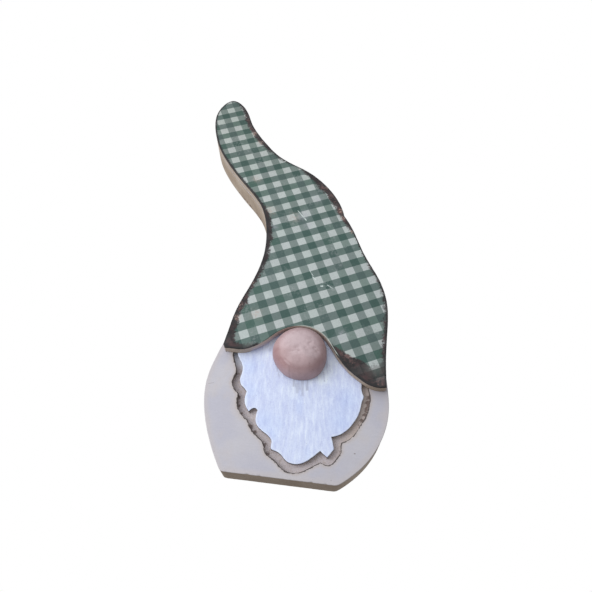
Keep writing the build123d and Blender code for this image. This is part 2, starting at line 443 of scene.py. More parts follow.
def new_piece(name, points, faces):
    """A smooth-shaded mesh object with creases at its sharp edges."""
    mesh = bpy.data.meshes.new(name)
    mesh.from_pydata(points.tolist(), [], faces)
    mesh.shade_smooth()
    mesh.set_sharp_from_angle(angle=CREASE_ANGLE)
    return new_object(name, mesh)


def set_attribute(piece, name, values):
    """Stores one number per point, for the piece's material to read."""
    layer = piece.data.attributes.new(name, "FLOAT", "POINT")
    layer.data.foreach_set("value", np.asarray(values, np.float32))


def ground_points(piece):
    """The piece's points as (x, z)."""
    return np.array([(v.co.x, v.co.z) for v in piece.data.vertices])


def set_marks(piece, **marks):
    """Stores how strongly each kind of mark shows at each point, from 0 to 1."""
    points = ground_points(piece)
    for name, places in marks.items():
        set_attribute(piece, name, np.clip(spots(points, places), 0, 1))


def settle(piece, node, material):
    """Puts the finished piece in the place of its CAD node."""
    piece.data.materials.append(material)
    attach(piece, ROOT)
    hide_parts(node)


# --- shader building ---
SEED_STEP = (13.7, 7.1, 3.3)  # how far each seed moves the noise


def srgb(red, green, blue):
    """A screen colour, 0 to 255, as the linear colour that shaders take."""
    levels = [c / 255 for c in (red, green, blue)]
    return tuple(c / 12.92 if c <= 0.04045 else ((c + 0.055) / 1.055) ** 2.4 for c in levels) + (1,)


class Nodes:
    """The node tree of a material or world, built up from nothing."""

    def __init__(self, owner):
        owner.use_nodes = True
        self.nodes, self.links = owner.node_tree.nodes, owner.node_tree.links
        self.nodes.clear()

    def node(self, kind, inputs=None, **settings):
        made = self.nodes.new(kind)
        for key, value in settings.items():
            setattr(made, key, value)
        for key, value in (inputs or {}).items():
            if isinstance(value, bpy.types.NodeSocket):
                self.links.new(value, made.inputs[key])
            else:
                made.inputs[key].default_value = value
        return made


class Shader(Nodes):
    """One material's nodes.  Each call takes numbers, colours or sockets and gives a socket back."""

    def __init__(self, name):
        self.material = bpy.data.materials.new(name)
        super().__init__(self.material)
        place = self.node("ShaderNodeTexCoord").outputs["Object"]
        scaled = self.node("ShaderNodeVectorMath", {0: place, "Scale": 1 / MM}, operation="SCALE")
        self.place = scaled.outputs["Vector"]  # in millimetres
        self.x, self.y, self.z = self.parts(self.place)
        normal = self.node("ShaderNodeNewGeometry").outputs["Normal"]
        self.facing_x, self.facing_y, self.facing_z = self.parts(normal)

    def parts(self, vector):
        return self.node("ShaderNodeSeparateXYZ", {0: vector}).outputs.values()

    def vector(self, x, y, z):
        return self.node("ShaderNodeCombineXYZ", {0: x, 1: y, 2: z}).outputs[0]

    def math(self, operation, *terms):
        return self.node("ShaderNodeMath", dict(enumerate(terms)), operation=operation).outputs[0]

    def add(self, *terms):
        return reduce(lambda total, term: self.math("ADD", total, term), terms)

    def times(self, *terms):
        return reduce(lambda total, term: self.math("MULTIPLY", total, term), terms)

    def minus(self, one, other):
        return self.math("SUBTRACT", one, other)

    def inverse(self, value):
        return self.minus(1, value)

    def between(self, share, one, other):
        """A height that goes from one to the other as share goes from 0 to 1."""
        return self.add(self.times(self.inverse(share), one), self.times(share, other))

    def mix(self, share, one, other, blend="MIX"):
        inputs = {0: share, 6: one, 7: other}
        return self.node("ShaderNodeMix", inputs, data_type="RGBA", blend_type=blend).outputs[2]

    def over(self, colour, other, strength, *masks):
        """The colour with some of the other laid over it, where every mask is 1."""
        return self.mix(self.times(*masks, strength), colour, other)

    def shaded(self, colour, red, green, blue):
        """The colour with its red, green and blue made lighter or darker."""
        shade = self.node("ShaderNodeCombineColor", {0: red, 1: green, 2: blue}).outputs[0]
        return self.mix(1, colour, shade, "MULTIPLY")

    def step(self, low, high, value):
        """0 at low and 1 at high, smooth in between."""
        inputs = {"Value": value, "From Min": low, "From Max": high}
        return self.node("ShaderNodeMapRange", inputs, interpolation_type="SMOOTHSTEP").outputs["Result"]

    def noise(self, size, detail=2, roughness=0.5, stretch=(1, 1, 1), seed=0, place=None):
        """Noise from 0 to 1 with features about size millimetres long, longer along a stretched axis."""
        inputs = {
            "Vector": place or self.place, "Location": tuple(seed * apart for apart in SEED_STEP),
            "Scale": tuple(1 / (size * longer) for longer in stretch),
        }
        mapped = self.node("ShaderNodeMapping", inputs).outputs["Vector"]
        inputs = {"Vector": mapped, "Scale": 1, "Detail": detail, "Roughness": roughness}
        return self.node("ShaderNodeTexNoise", inputs).outputs["Fac"]

    def centred(self, noise_value, strength):
        """Noise moved from 0..1 to within strength either side of zero."""
        return self.times(self.minus(noise_value, 0.5), 2 * strength)

    def attribute(self, name):
        return self.node("ShaderNodeAttribute", attribute_name=name).outputs["Fac"]

    def line(self, x0, z0, x1, z1, half_width):
        """1 on a thin straight mark on the front, tapering off at its sides."""
        length = math.hypot(x1 - x0, z1 - z0)
        along_x, along_z = (x1 - x0) / length, (z1 - z0) / length
        dx, dz = self.minus(self.x, x0), self.minus(self.z, z0)
        along = self.add(self.times(dx, along_x), self.times(dz, along_z))
        side = self.math("ABSOLUTE", self.minus(self.times(dx, along_z), self.times(dz, along_x)))
        beyond = self.math("MAXIMUM", self.times(along, -1), self.minus(along, length))
        gap = self.math("MAXIMUM", side, beyond)
        return self.step(half_width * 1.5, half_width * 0.5, gap)

    def finish(self, colour, roughness, relief, depth, **gloss):
        """Closes the tree.  relief is a height from 0 to 1, and depth its range in millimetres."""
        bump = self.node("ShaderNodeBump", {"Height": relief, "Strength": 1, "Distance": depth * MM})
        inputs = {"Base Color": colour, "Roughness": roughness, "Normal": bump.outputs["Normal"]}
        shader = self.node("ShaderNodeBsdfPrincipled", inputs | gloss)
        self.node("ShaderNodeOutputMaterial", {"Surface": shader.outputs["BSDF"]})
        return self.material


# --- colours ---
PALE_CHECK, ACROSS_CHECK = srgb(188, 196, 194), srgb(124, 138, 134)
ALONG_CHECK, DARK_CHECK = srgb(98, 117, 112), srgb(66, 92, 86)
CHECK_GREYER, CHECK_GREENER = srgb(150, 152, 158), srgb(120, 160, 138)
FADED, MAUVE, SCUFFED = srgb(184, 168, 158), srgb(176, 176, 186), srgb(172, 178, 178)
INK_DARK, INK_RED, INK_BROWN = srgb(44, 40, 42), srgb(76, 56, 58), srgb(86, 68, 64)
INK_RUDDY = srgb(146, 112, 108)
# the paper's core colour also serves as a painted highlight along the arch's cut edge
RUBBED, SCRATCH, PAPER_CORE_HIGHLIGHT = srgb(196, 168, 154), srgb(214, 226, 222), srgb(190, 196, 188)
GREY_PAINT, GREY_WARM, GREY_COOL = srgb(196, 194, 201), srgb(197, 191, 192), srgb(189, 188, 199)
# the darker grey is a painted shadow under the hat's hem
GREY_SHADE, GREY_FLECK = srgb(172, 170, 180), srgb(150, 142, 142)
HAIRLINE, SPECK = srgb(130, 118, 112), srgb(120, 106, 104)
BARE, BARE_LIGHT, BARE_DARK = srgb(164, 147, 130), srgb(182, 167, 150), srgb(126, 107, 90)
# the pale hem colour is painted light on the hat plate's downward walls
BURNT, STAIN, HEM_PAINTED_LIGHT = srgb(46, 36, 33), srgb(116, 82, 66), srgb(208, 194, 184)
RIM_WARM, BEARD_WALL = srgb(176, 158, 142), srgb(208, 200, 198)
# the left-side groove colour is painted shade on the groove's floor
GROOVE_FLOOR, GROOVE_LEFT_SHADE, GROOVE_TAN = srgb(200, 191, 194), srgb(188, 179, 183), srgb(208, 192, 178)
GROOVE_LIGHT, GROOVE_BROWN = srgb(226, 218, 217), srgb(84, 56, 48)
WHITE_PAINT, WHITE_BRIGHT = srgb(213, 223, 250), srgb(230, 238, 255)
WHITE_THICK_LIT, WHITE_FLECK = srgb(230, 240, 255), srgb(150, 145, 150)
WHITE_BLUE, WHITE_GREY = srgb(196, 212, 250), srgb(164, 168, 188)
STREAK, SMEAR = srgb(136, 136, 160), srgb(186, 184, 204)
PINK, PINK_DEEP, PINK_DULL = srgb(202, 181, 184), srgb(187, 151, 152), srgb(173, 149, 152)
# the dull pink near the nose's base is painted shade on its lower right
PINK_PAINTED_SHADE, PINK_FLECK, PINK_RIM = srgb(156, 130, 122), srgb(140, 108, 102), srgb(128, 92, 88)
# the dusk colour is painted shade on the nose's sides and underside
NOSE_PAINTED_SHADE = srgb(226, 213, 212)
FLOOR_DARK, FLOOR_LIGHT = srgb(236, 236, 234), srgb(242, 242, 241)

# Gingham: one repeat, the slope of its stripes, and where a pale square lies.
REPEAT = 6.35
STRIPE_EDGE = (0.262, 0.238)  # outer and inner side of a stripe's edge, as shares of the repeat
STRIPE_COS, STRIPE_SIN = 0.8945, 0.4471
STRIPE_START = (-5.4998, 16.7063)
THREADS = 22  # threads in one repeat


def bare_board(s, along_y=True):
    """Colour and height of sawn or sanded fine-grained board."""
    stretch = (1, 12, 1) if along_y else (1, 1, 14)
    marks = s.noise(0.28, 3, 0.6, stretch)
    fibres = s.noise(0.5, 4, 0.65, seed=2)
    broad = s.noise(9, 2, 0.5, seed=4)
    colour = s.mix(s.step(0.3, 0.7, broad), BARE, BARE_LIGHT)
    colour = s.over(colour, BARE_DARK, 0.45, s.step(0.5, 0.8, marks))
    colour = s.over(colour, BARE_DARK, 0.4, s.step(0.58, 0.75, fibres))
    return colour, s.add(s.times(marks, 0.6), s.times(fibres, 0.4))


def gingham(s):
    """Colour of the printed checks, and the height of their woven look."""
    x = s.add(s.x, s.centred(s.noise(1.1, 2, seed=1), 0.06))
    z = s.add(s.z, s.centred(s.noise(1.1, 2, seed=5), 0.06))
    rising = s.add(s.times(x, STRIPE_COS), s.times(z, STRIPE_SIN))
    falling = s.minus(s.times(x, STRIPE_SIN), s.times(z, STRIPE_COS))
    u = s.add(s.times(rising, 1 / REPEAT), STRIPE_START[0])
    v = s.add(s.times(falling, 1 / REPEAT), STRIPE_START[1])

    def stripe(position):
        off_middle = s.math("ABSOLUTE", s.minus(s.math("FRACT", position), 0.5))
        return s.step(*STRIPE_EDGE, off_middle)

    across, along = stripe(u), stripe(v)
    colour = s.mix(across, s.mix(along, PALE_CHECK, ALONG_CHECK), s.mix(along, ACROSS_CHECK, DARK_CHECK))
    cell = (s.math("FLOOR", s.add(s.times(way, 2), 0.5)) for way in (u, v))
    square = s.node("ShaderNodeTexWhiteNoise", {"Vector": s.vector(*cell, 3)}, noise_dimensions="3D")
    tint = square.outputs["Value"]
    colour = s.over(colour, CHECK_GREYER, 0.13, s.step(0.55, 1, tint))
    colour = s.over(colour, CHECK_GREENER, 0.10, s.step(0.4, 0, tint))

    woven = s.vector(s.times(u, REPEAT), s.times(v, REPEAT), 0)
    warp = s.noise(0.22, 2, 0.6, (1, 9, 1), 3, woven)
    weft = s.noise(0.22, 2, 0.6, (9, 1, 1), 6, woven)
    thread_u, thread_v = (s.math("SINE", s.times(way, 2 * math.pi * THREADS)) for way in (u, v))
    return colour, s.add(s.times(thread_u, thread_v, 0.25), s.centred(warp, 0.5), s.centred(weft, 0.5))


def worn_and_shaded_paper(s, colour, thread):
    """The printed colour with the paper's light and shade, painted shade towards the top and low on the
    right, and its faded and scuffed places.
    """
    speck, broad = s.noise(0.5, 4, 0.7, seed=27), s.noise(14, 2, seed=8)
    light = s.add(1, s.times(thread, 0.15), s.centred(speck, 0.22), s.centred(broad, 0.08))
    # painted shade: the paper darker low on the right
    shade_low_right = s.times(s.step(6, 28, s.x), s.step(85, 45, s.z))
    light = s.minus(light, s.times(shade_low_right, 0.08))
    # painted shade: the paper darker and a little warmer towards the top
    high = s.step(80, 150, s.z)
    colour = s.shaded(colour, *(s.minus(light, s.times(high, top_shade)) for top_shade in (0.10, 0.11, 0.14)))

    worn = s.noise(1, 5, 0.7, seed=19)
    colour = s.over(colour, FADED, 0.7, s.attribute("faded"), s.step(0.35, 0.6, worn))
    colour = s.over(colour, MAUVE, 0.5, s.attribute("mauve"), s.step(0.3, 0.65, worn))
    scuffed = s.times(s.step(0.52, 0.68, s.noise(7, 3, seed=26)), s.step(0.48, 0.62, worn))
    return s.over(colour, SCUFFED, 0.3, scuffed)


def edge_ink(s, edge, ragged):
    """How strongly ink covers the paper near its edge, and the ink's colour there."""
    reach = s.attribute("reach")
    broad = s.noise(3.6, 4, 0.6, seed=13)
    reaching = s.times(reach, s.add(0.1, s.times(broad, 1.9)))
    smudge = s.minus(reaching, s.add(edge, s.centred(ragged, 3.3)))
    smudge = s.times(s.step(-0.6, 0.8, smudge), s.step(0.05, 0.3, reach))
    smudge = s.times(smudge, s.inverse(s.times(s.attribute("faint"), 0.6)))
    rim_line = s.times(s.step(0.76, 0.48, s.add(edge, s.centred(ragged, 0.4))), s.step(0.1, 0.35, reach))
    inked = s.math("MAXIMUM", smudge, s.times(rim_line, 0.95))

    fleck = s.noise(0.9, 5, 0.7, seed=15)
    ink = s.mix(s.step(0.4, 0.62, s.noise(2.8, 4, 0.6, seed=14)), INK_DARK, INK_RED)
    ink = s.over(ink, INK_BROWN, 0.4, s.step(0.52, 0.66, fleck))
    high_left = s.times(s.step(-8, -14, s.x), s.step(62, 76, s.z))
    ink = s.over(ink, INK_DARK, 0.6, high_left)
    ruddy = s.times(s.attribute("ruddy"), s.step(0.47, 0.6, fleck), s.step(0.1, 0.6, edge))
    ink = s.over(ink, INK_RUDDY, 0.5, ruddy)
    return inked, s.mix(s.step(0.9, 0.3, edge), ink, INK_DARK)


def checked_paper():
    """Green gingham printed on paper, varnished, with ink rubbed in from the edges."""
    s = Shader("checked_paper")
    printed, thread = gingham(s)
    edge, ragged = s.attribute("edge"), s.noise(0.8, 6, 0.8, seed=11)
    inked, ink = edge_ink(s, edge, ragged)
    colour = s.over(worn_and_shaded_paper(s, printed, thread), ink, 0.96, inked)
    # the paper's pale core at the cut edge along the arch, and a painted highlight where that edge catches
    # light
    cut = s.times(s.attribute("cut"), s.step(0.36, 0.2, s.add(edge, s.centred(ragged, 0.1))))
    colour = s.over(colour, PAPER_CORE_HIGHLIGHT, 0.85, cut)
    patchy = s.step(0.46, 0.6, s.noise(0.5, 4, 0.6, seed=12))
    rubbed = s.times(s.step(0.25, 0.75, s.attribute("rubbed")), patchy)
    colour = s.over(colour, RUBBED, 0.6, rubbed, s.step(0.15, 0.45, edge))
    broken = s.step(0.3, 0.5, s.noise(0.5, 2, seed=16))
    for scratch in SCRATCHES:
        colour = s.over(colour, SCRATCH, broken, s.line(*scratch))

    roughness = s.add(0.5, s.times(s.noise(2.5, 4, seed=17), 0.2), s.times(inked, 0.1))
    grain = s.noise(0.6, 4, 0.6, seed=18)
    relief = s.add(s.times(thread, 0.25), s.times(grain, 0.6), s.times(inked, 0.15))
    return s.finish(colour, roughness, relief, 0.02, **{"Specular IOR Level": 0.3})


def inked_plate():
    """Sawn plate under the paper: bare walls, with dark ink along the front edge, and painted light and
    shade on the hem's downward walls.
    """
    s = Shader("inked_plate")
    colour, relief = bare_board(s)
    depth = s.minus(s.y, HAT_FRONT / MM)
    ragged = s.noise(1, 5, 0.7, seed=21)
    # painted light: the hem's downward walls paler in the middle, less to the left
    underside = s.step(-0.2, -0.6, s.facing_z)
    hem_light_share = s.times(s.step(16, 9, s.x), s.add(0.25, s.times(s.step(-19, -12, s.x), 0.45)))
    colour = s.over(colour, HEM_PAINTED_LIGHT, hem_light_share, underside)
    # painted shade: the hem's downward walls darker on the right
    colour = s.over(colour, BARE_DARK, 0.2, underside, s.step(9, 16, s.x))
    back_tone = s.step(2.6, 3.2, s.add(depth, s.centred(ragged, 0.4)))
    colour = s.over(colour, STAIN, 0.35, back_tone)
    ink_spots = s.step(0.70, 0.78, s.noise(1.5, 2, seed=22))
    colour = s.over(colour, INK_BROWN, 0.7, ink_spots)
    smeared = s.step(1.2, 2.4, s.add(s.times(depth, s.attribute("smear")), s.centred(ragged, 1.2)))
    colour = s.over(colour, SMEAR, 0.6, smeared)

    left_wall = s.step(-0.2, -0.6, s.facing_x)
    bleed = s.add(0.12, s.times(ragged, 0.45), s.times(left_wall, 0.4))
    bleed = s.times(bleed, s.step(0.1, 0.35, s.attribute("reach")))
    ink = s.mix(s.step(0.5, 0.68, s.noise(1.6, 3, seed=23)), INK_DARK, INK_BROWN)
    colour = s.mix(s.step(-0.06, 0.16, s.minus(bleed, depth)), colour, ink)
    return s.finish(colour, s.add(0.68, s.times(ragged, 0.15)), relief, 0.05)


def grey_coat(s, brush, speck):
    """Colour of the panel's paint, apart from the rim of its window, with a painted shadow under the right
    of the hat's hem.
    """
    cloud = s.noise(11, 3, 0.5, seed=32)
    paint = s.mix(s.step(0.35, 0.65, cloud), GREY_PAINT, GREY_COOL)
    paint = s.over(paint, GREY_WARM, 0.5, s.step(0.5, 0.7, s.noise(7, 3, seed=37)))
    paint = s.over(paint, GREY_WARM, 0.7, s.step(2.4, 0.2, s.attribute("edge")))
    light = s.add(1, s.centred(brush, 0.05), s.centred(speck, 0.06))
    paint = s.shaded(paint, light, light, light)
    flecks = s.step(0.735, 0.76, s.noise(0.9, 2, seed=34))
    paint = s.over(paint, GREY_FLECK, 0.5, flecks)
    paint = s.over(paint, HAIRLINE, 0.6, s.line(*PANEL_HAIRLINE))
    # painted shadow: the paint darker under the right of the hat's hem
    painted_hem_shadow = s.times(s.step(24, 33, s.z), s.step(20, 28, s.x))
    paint = s.over(paint, GREY_SHADE, 0.5, painted_hem_shadow)
    return s.over(paint, SPECK, 0.8, s.line(*PANEL_SPECK))


def grey_paint():
    """Matt lilac-grey paint on the panel's front, bare board on its walls."""
    s = Shader("grey_paint")
    brush, speck = s.noise(0.35, 3, 0.55, (7, 1, 1), 31), s.noise(0.45, 2, 0.5, seed=33)
    ragged = s.noise(0.8, 5, 0.7, seed=35)
    depth, bay = s.minus(s.y, BODY_FRONT / MM), s.attribute("bay")
    halo = s.step(1.3, 0.2, s.add(bay, s.centred(ragged, 1.2)))
    paint = s.over(grey_coat(s, brush, speck), RIM_WARM, 0.3, halo)
    width = s.add(s.centred(ragged, 0.45), s.centred(s.noise(2.4, 2, seed=36), 0.5))
    rim_line = s.step(0.38, 0.22, s.add(bay, width))
    paint = s.over(paint, BURNT, 0.9, rim_line)

    wood, wood_relief = bare_board(s)
    # painted shade: bare board darker on faces turned down
    underside = s.step(-0.6, -0.95, s.facing_z)
    wood = s.over(wood, BARE_DARK, 0.45, underside)
    in_window = s.step(0.8, 0, bay)
    wood = s.over(wood, BEARD_WALL, 0.6, in_window)
    burnt = s.step(1.6, 0.8, s.add(depth, s.centred(ragged, 1.2)))
    wood = s.over(wood, BURNT, 0.72, in_window, burnt)
    stained = s.times(s.step(0.1, 0.7, s.attribute("stain")), s.step(0.35, 0.5, ragged))
    wood = s.over(wood, BURNT, 0.85, in_window, stained)

    bare = s.step(0.14, 0.3, s.add(depth, s.centred(ragged, 0.14)))
    paint_relief = s.add(s.times(brush, 0.3), s.times(speck, 0.2))
    roughness = s.add(0.52, s.times(brush, 0.12), s.times(bare, 0.18))
    return s.finish(s.mix(bare, paint, wood), roughness, s.between(bare, paint_relief, wood_relief), 0.03)


def groove_floor(s):
    """A thin wash of grey over the board, in painted shade on its left side, rubbed with brown, and with
    white at the top left.
    """
    blotch = s.noise(0.9, 4, 0.6, seed=44)
    grit = s.noise(0.5, 5, 0.7, seed=46)
    # painted shade: the floor's wash darker on the groove's left side
    washed = s.mix(s.step(-9, -16, s.x), GROOVE_FLOOR, GROOVE_LEFT_SHADE)
    washed = s.over(washed, BARE_LIGHT, 0.35, s.step(0.48, 0.64, blotch))
    washed = s.over(washed, GROOVE_BROWN, 0.25, s.step(0.54, 0.66, grit))
    washed = s.over(washed, GROOVE_LIGHT, 0.35, s.step(0.46, 0.36, grit))
    washed = s.over(washed, GROOVE_TAN, 0.5, s.step(15, 22, s.x))
    stain = s.step(0.22, 0.55, s.add(s.attribute("stain"), s.centred(blotch, 0.9)))
    washed = s.over(washed, GROOVE_BROWN, 0.7, stain)
    top_left = s.times(s.step(33, 38, s.z), s.step(-14, -17, s.x))
    return s.over(washed, WHITE_BRIGHT, 0.8, top_left)


def carrier_board():
    """The thick board: bare walls and back, and the floor of the groove."""
    s = Shader("bare_board")
    wall, wall_relief = bare_board(s)
    flat, flat_relief = bare_board(s, along_y=False)
    is_back = s.step(0.6, 0.9, s.facing_y)
    not_back = s.inverse(is_back)
    ragged = s.noise(0.8, 5, 0.7, seed=41)
    back = BOARD_BACK / MM

    # painted shade: bare board darker on faces turned down
    underside = s.step(-0.6, -0.95, s.facing_z)
    colour = s.over(s.mix(is_back, wall, flat), BARE_DARK, 0.45, underside)
    rear = s.step(back - 0.9, back + 0.1, s.add(s.y, s.centred(ragged, 0.7)))
    colour = s.over(colour, STAIN, 0.4, rear, not_back)
    beside_hat = s.times(s.step(-20, -24, s.x), s.step(98, 103, s.z), s.step(123, 118, s.z))
    patchy = s.step(0.53, 0.6, s.noise(1.7, 4, 0.6, seed=45))
    singed = s.times(beside_hat, s.step(back - 3.4, back - 1.2, s.y), patchy, not_back)
    colour = s.over(colour, GROOVE_BROWN, 0.75, singed)
    near_edge = s.step(3, 0, s.attribute("edge"))
    handled = s.times(is_back, near_edge, s.step(0.35, 0.7, s.noise(5, 3, seed=42)))
    colour = s.over(colour, BARE_DARK, 0.5, handled)
    colour = s.mix(s.step(-0.6, -0.9, s.facing_y), colour, groove_floor(s))
    relief = s.between(is_back, wall_relief, flat_relief)
    return s.finish(colour, s.add(0.66, s.times(ragged, 0.18)), relief, 0.05)


def white_coat(s, leaning, strokes, fine):
    """Colour of the beard's paint: cool white, grey and blue where it is thin, with a painted highlight
    along its edge and painted light over the shadows of the nose and hat.
    """
    broad = s.noise(4.5, 3, 0.5, (1, 1, 2.5), 53, leaning)
    grain = s.noise(0.4, 3, 0.6, seed=56)
    dabs = s.noise(2.4, 5, 0.65, (1, 1, 1.8), 57, leaning)
    blue = s.math("MAXIMUM", s.attribute("blue"), s.times(s.step(0.55, 0.7, broad), 0.6))
    paint = s.over(WHITE_PAINT, WHITE_BRIGHT, 0.35, s.step(0.52, 0.68, strokes))
    paint = s.over(paint, WHITE_BLUE, s.add(0.35, s.times(strokes, 0.6)), blue)
    # whiter along the beard's edge: thicker paint there, and a painted highlight where the eased edge
    # catches light
    rim = s.step(0.85, 0.35, s.add(s.attribute("edge"), s.centred(dabs, 1)))
    paint = s.over(paint, WHITE_BRIGHT, 0.45, rim)
    # painted light: whiter paint over the shadows of the nose and the hat's hem
    paint = s.over(paint, WHITE_THICK_LIT, 0.7, s.attribute("white"))
    light = s.add(1, s.centred(fine, 0.12), s.centred(grain, 0.14))
    light = s.add(light, s.centred(strokes, 0.2), s.centred(dabs, 0.26))
    paint = s.shaded(paint, light, light, s.add(0.5, s.times(light, 0.5)))
    thin = s.times(s.step(0.2, 0.8, s.attribute("shadow")), s.step(0.55, 0.35, strokes))
    paint = s.over(paint, WHITE_GREY, 0.5, thin)
    broken = s.step(0.35, 0.6, strokes)
    for streak in BEARD_STREAKS:
        paint = s.over(paint, STREAK, 0.42, s.line(*streak), broken)
    flecks = s.step(0.72, 0.76, s.noise(0.7, 2, seed=54))
    return s.over(paint, WHITE_FLECK, 0.35, flecks)


def white_paint():
    """White paint brushed down the beard, bare board on its walls with a dark line at the foot."""
    s = Shader("white_paint")
    leaning = s.vector(s.add(s.x, s.times(s.z, STROKE_LEAN)), s.y, s.z)
    strokes = s.noise(1, 5, 0.62, (1, 1, 5), 51, leaning)
    fine = s.noise(0.3, 3, 0.6, (1, 1, 4), 52, leaning)
    paint = white_coat(s, leaning, strokes, fine)

    depth = s.minus(s.y, BODY_FRONT / MM)
    ragged = s.noise(0.7, 5, 0.7, seed=55)
    wood, wood_relief = bare_board(s)
    wood = s.mix(0.7, wood, BEARD_WALL)
    burnt = s.step(1.1, 0.8, s.add(depth, s.centred(ragged, 0.8)))
    wood = s.over(wood, BURNT, 0.94, burnt)
    bare = s.step(0.12, 0.22, s.add(depth, s.centred(ragged, 0.1)))
    paint_relief = s.add(s.times(strokes, 0.7), s.times(fine, 0.3))
    roughness = s.add(0.42, s.times(strokes, 0.2), s.times(bare, 0.2))
    return s.finish(s.mix(bare, paint, wood), roughness, s.between(bare, paint_relief, wood_relief), 0.06)


def pink_paint():
    """Dusty pink paint on the turned dome, ruddier on one cheek, with painted shade on its sides, below and
    near the base on the lower right.
    """
    s = Shader("pink_paint")
    mottle = s.noise(1.6, 4, 0.6, seed=61)
    speck = s.noise(0.3, 3, 0.6, seed=62)
    turned = s.noise(0.5, 2, 0.5, (5, 1, 1), 63)
    paint = s.over(PINK, PINK_DULL, 0.5, s.step(0.4, 0.8, mottle))
    cheek = s.times(s.attribute("cheek"), s.add(0.5, s.times(mottle, 0.5)))
    paint = s.over(paint, PINK_DEEP, 0.5, cheek)
    light = s.add(1, s.centred(speck, 0.14), s.centred(turned, 0.06))
    paint = s.shaded(paint, light, light, light)
    flecks = s.step(0.70, 0.76, s.noise(0.7, 2, seed=64))
    paint = s.over(paint, PINK_FLECK, 0.5, flecks)

    # painted shade: darker where the dome turns away from the front
    paint = s.mix(s.step(-0.99, -0.72, s.facing_y), paint, NOSE_PAINTED_SHADE, "MULTIPLY")
    # painted shade: darker on the faces turned down
    below = s.times(s.step(0, -0.25, s.facing_z), s.step(-0.9, -0.5, s.facing_z))
    paint = s.mix(s.times(below, 0.6), paint, NOSE_PAINTED_SHADE, "MULTIPLY")
    base = BODY_FRONT / MM
    # painted shade: darker near the base on the lower right
    near_base = s.step(base - 5, base - 2, s.add(s.y, s.centred(mottle, 1.5)))
    shade_low_right = s.step(-0.1, 0.6, s.minus(s.facing_x, s.facing_z))
    paint = s.over(paint, PINK_PAINTED_SHADE, 0.15, near_base, shade_low_right)
    rim = s.step(base - 0.7, base, s.add(s.y, s.centred(mottle, 0.4)))
    paint = s.over(paint, PINK_RIM, 0.5, rim)

    wrinkled = s.times(s.noise(0.9, 5, 0.7, (1, 1, 1.6), 65), s.step(-1, 4, s.x))
    relief = s.add(s.times(speck, 0.3), s.times(turned, 0.25), s.times(mottle, 0.3), s.times(wrinkled, 0.8))
    return s.finish(paint, s.add(0.42, s.times(speck, 0.15)), relief, 0.045)


def studio_floor():
    """Pale matt floor that shows from above only."""
    s = Shader("studio_floor")
    tone = s.mix(s.noise(400, 2), FLOOR_DARK, FLOOR_LIGHT)
    matt = s.node("ShaderNodeBsdfDiffuse", {"Color": tone}).outputs["BSDF"]
    clear = s.node("ShaderNodeBsdfTransparent").outputs["BSDF"]
    behind = s.node("ShaderNodeNewGeometry").outputs["Backfacing"]
    both = s.node("ShaderNodeMixShader", {0: behind, 1: matt, 2: clear}).outputs[0]
    s.node("ShaderNodeOutputMaterial", {"Surface": both})
    return s.material


# --- pieces ---
def uneven(base, swing, size, seed, chips=()):
    """A measure in millimetres that varies from place to place, and is larger at chips."""
    def measure(points):
        return base + swing * wobble(points, size, seed) + CHIP_DEPTH * spots(points, chips)
    return measure


def ink_reach(piece):
    """How far the ink reaches in from the hat's edge near each point, in millimetres."""
    return INK_LINE + spots(ground_points(piece), INK_SMUDGES)


def make_back_board():
    piece = plate(
        "back_board_sawn", sawn_outline("back_board", BOARD_FRONT), BOARD_FRONT, BOARD_BACK,
        easing=uneven(0.06, 0.02, 2, 1), relief=uneven(0.03, 0.03, 2.5, 4),
        spacing=(0.9, 0.9), back_spacing=(1.6, 1.6), back_easing=0.35, rows=9,
    )
    set_marks(piece, stain=GROOVE_STAINS)
    settle(piece, "back_board", carrier_board())


def make_body_panel():
    loops = sawn_outline("body_panel", BODY_FRONT)
    piece = plate(
        "body_panel_painted", loops, BODY_FRONT, BOARD_FRONT,
        easing=uneven(0.17, 0.06, 2.2, 5, FOOT_CHIPS), relief=uneven(0.02, 0.02, 9, 6),
        spacing=(1.1, 1.1), back_easing=0.06,
    )
    window = Outline(loops[1:])
    set_attribute(piece, "bay", window.distance(ground_points(piece)) / MM)
    set_marks(piece, stain=GROOVE_STAINS)
    settle(piece, "body_panel", grey_paint())


def make_beard():
    def brushed(points):
        fan = np.column_stack([points[:, 0], points[:, 1] * STROKE_SQUEEZE])
        return 0.05 + 0.03 * wobble(fan, 0.9, 7) + 0.02 * wobble(points, 5, 8)

    piece = plate(
        "beard_painted", inset(sawn_outline("beard", BODY_FRONT), *BEARD_NICKS, seed=12),
        BODY_FRONT, BOARD_FRONT, easing=uneven(0.24, 0.1, 1.6, 10), relief=brushed,
        spacing=(0.3, 0.9), back_easing=0.1,
    )
    set_marks(piece, blue=BEARD_BLUES, white=BEARD_LIGHT_SPOTS, shadow=BEARD_SHADOWS)
    settle(piece, "beard", white_paint())


def make_hat_plate():
    piece = plate(
        "hat_plate_inked", sawn_outline("hat_plate", HAT_FRONT), HAT_FRONT, BODY_FRONT,
        easing=uneven(0.38, 0.1, 2.4, 14), spacing=(2, 2),
    )
    set_attribute(piece, "reach", ink_reach(piece))
    set_marks(piece, smear=PAINT_SMEARS)
    settle(piece, "hat_plate", inked_plate())


